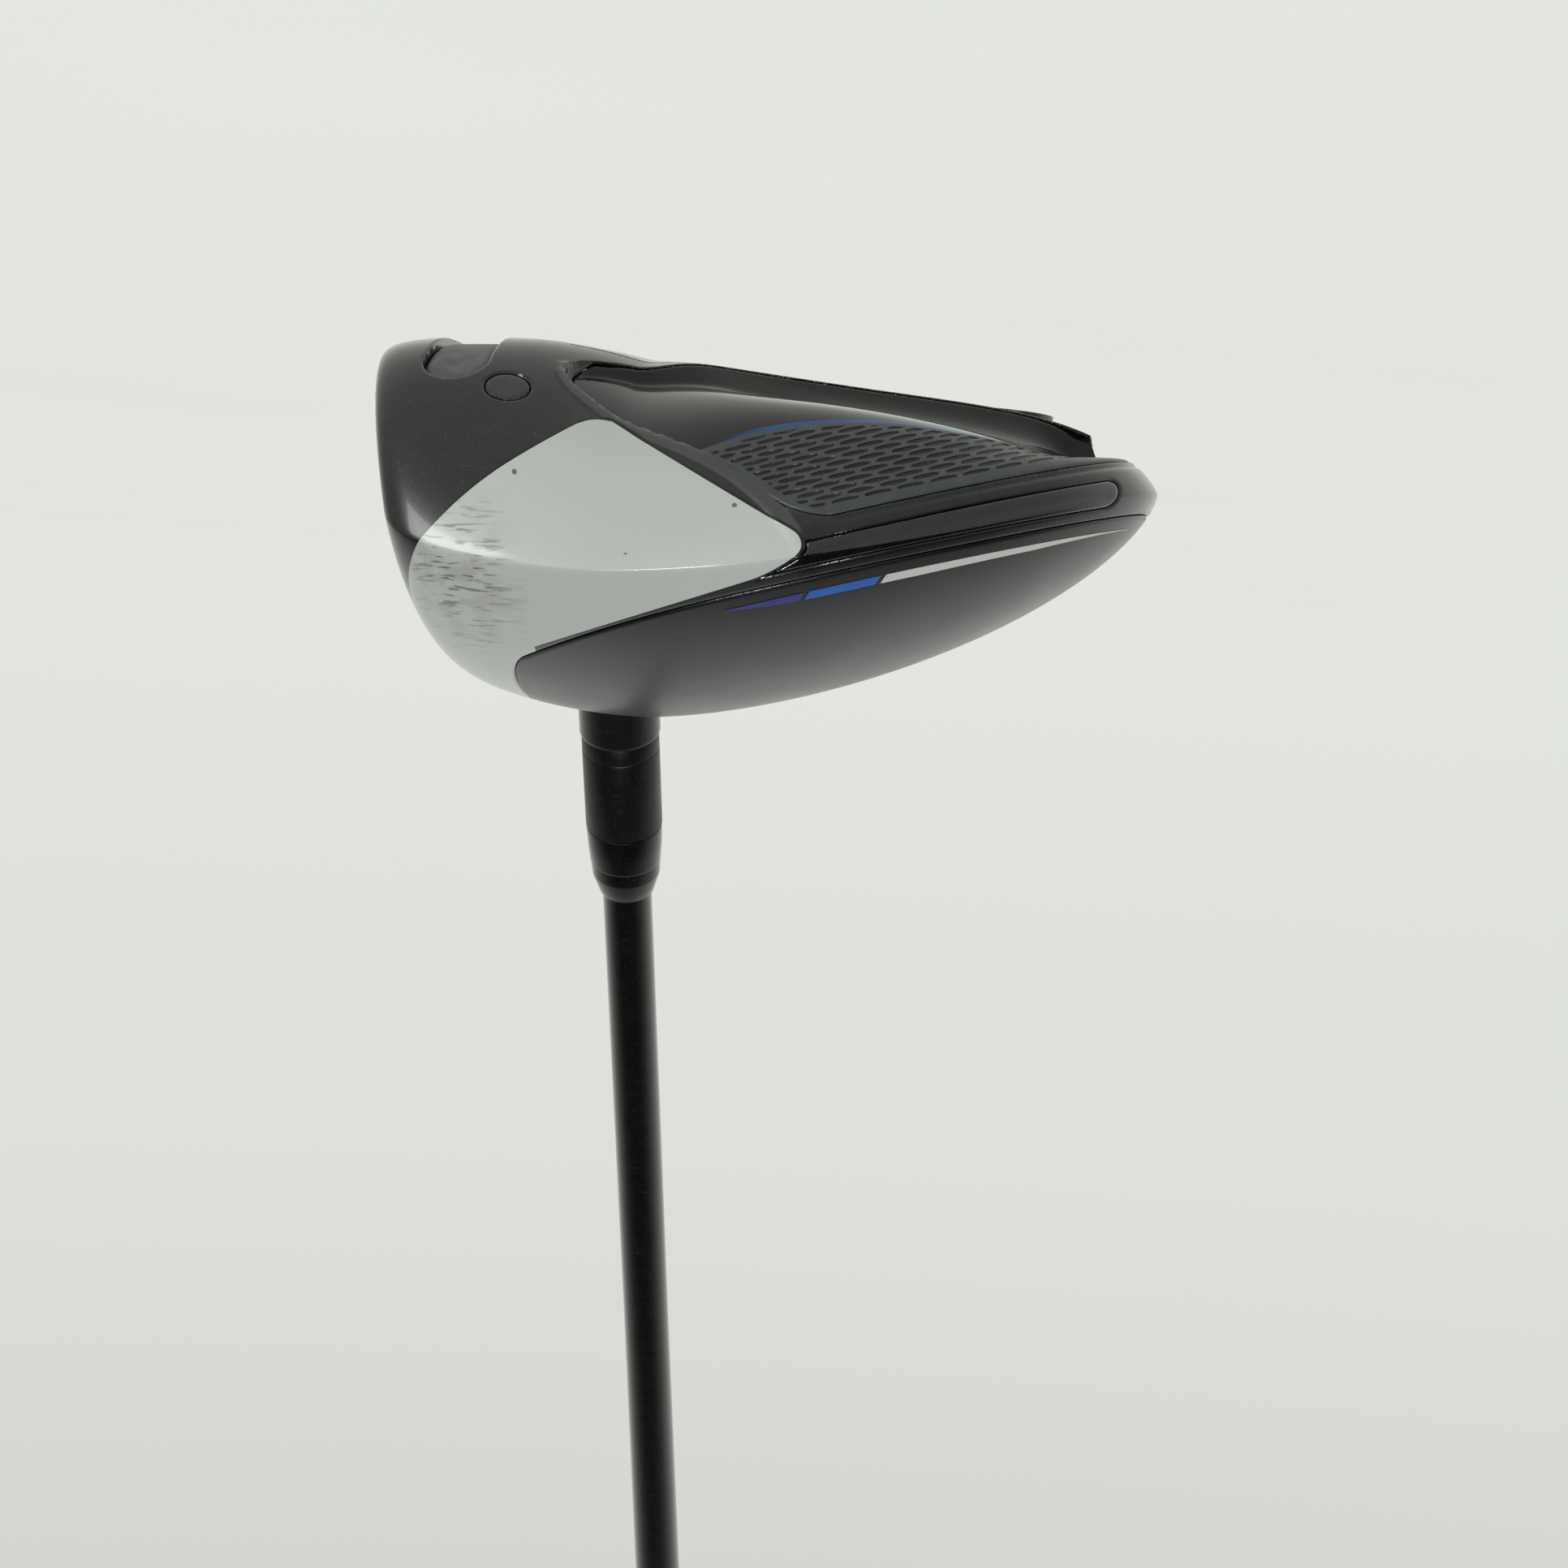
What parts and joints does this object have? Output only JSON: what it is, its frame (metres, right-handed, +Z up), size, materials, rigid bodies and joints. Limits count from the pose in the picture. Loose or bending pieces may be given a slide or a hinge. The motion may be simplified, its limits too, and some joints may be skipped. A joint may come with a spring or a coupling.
{
  "type": "golf driver",
  "caption": "Golf driver with a hollow head, bonded crown and sole panels, adjustable hosel sleeve, graphite shaft and rubber grip.",
  "frame": {"origin": "the point of the sole that rests on the ground at address", "axes": "+Z up; -Y is the way the face looks, towards the target; -X is the toe and +X the heel, above which the shaft rises"},
  "size_m": [0.7208, 0.116, 0.9809],
  "materials": {
    "body_paint": "satin dark grey and white lacquer over cast titanium",
    "face_metal": "dark brushed titanium",
    "crown_composite": "satin black lacquer over carbon composite",
    "sole_composite": "dark composite with a moulded leaf texture",
    "inlay_gloss": "high gloss black",
    "stripe_print": "printed purple, blue and white",
    "cap_gloss": "warm grey gloss",
    "slot_rubber": "grey moulded polymer",
    "plug_gloss": "dark gloss",
    "resin": "amber hot melt",
    "steel": "machined",
    "sleeve_anodised": "black anodised",
    "ferrule_plastic": "polished black",
    "shaft_lacquer": "clear lacquer over black carbon",
    "brass": "plain",
    "tape": "crepe paper tape",
    "grip_rubber": "moulded rubber with cut pattern",
    "nylon": "natural nylon"
  },
  "bodies": {
    "head": {"head_body": "body_paint", "face_plate": "face_metal", "crown_shell": "crown_composite", "toe_sole_panel": "sole_composite", "heel_sole_panel": "sole_composite", "skirt_inlay_toe": "inlay_gloss", "skirt_inlay_heel": "inlay_gloss", "crown_edge_decal": "stripe_print", "keel_cap": "cap_gloss", "slot_insert": "slot_rubber", "port_plug": "plug_gloss", "port_resin": "resin", "weight_port": "steel", "rear_weight": "steel", "hosel_liner": "body_paint"},
    "hosel_screw": {"hosel_screw": "steel", "screw_washer": "nylon"},
    "weight_screw": {"rear_weight_screw": "steel"},
    "club": {"loft_sleeve": "sleeve_anodised", "ferrule": "ferrule_plastic", "shaft": "shaft_lacquer", "tip_plug": "brass", "grip_tape": "tape", "grip": "grip_rubber"}
  },
  "joints": [
    {"name": "shaft_release", "type": "slide", "parent": "head", "child": "club", "axis": [0.5373, 0, 0.8434], "range_m": [0, 0.045]},
    {"name": "hosel_screw_turn", "type": "hinge", "parent": "head", "child": "hosel_screw", "pos_m": [0.04654, 0.002, 0.02362], "axis": [0.5373, 0, 0.8434], "continuous": true},
    {"name": "weight_screw_turn", "type": "hinge", "parent": "head", "child": "weight_screw", "pos_m": [0, 0.069, 0.00591], "axis": [0, -0.0559, 0.9984], "continuous": true}
  ]
}
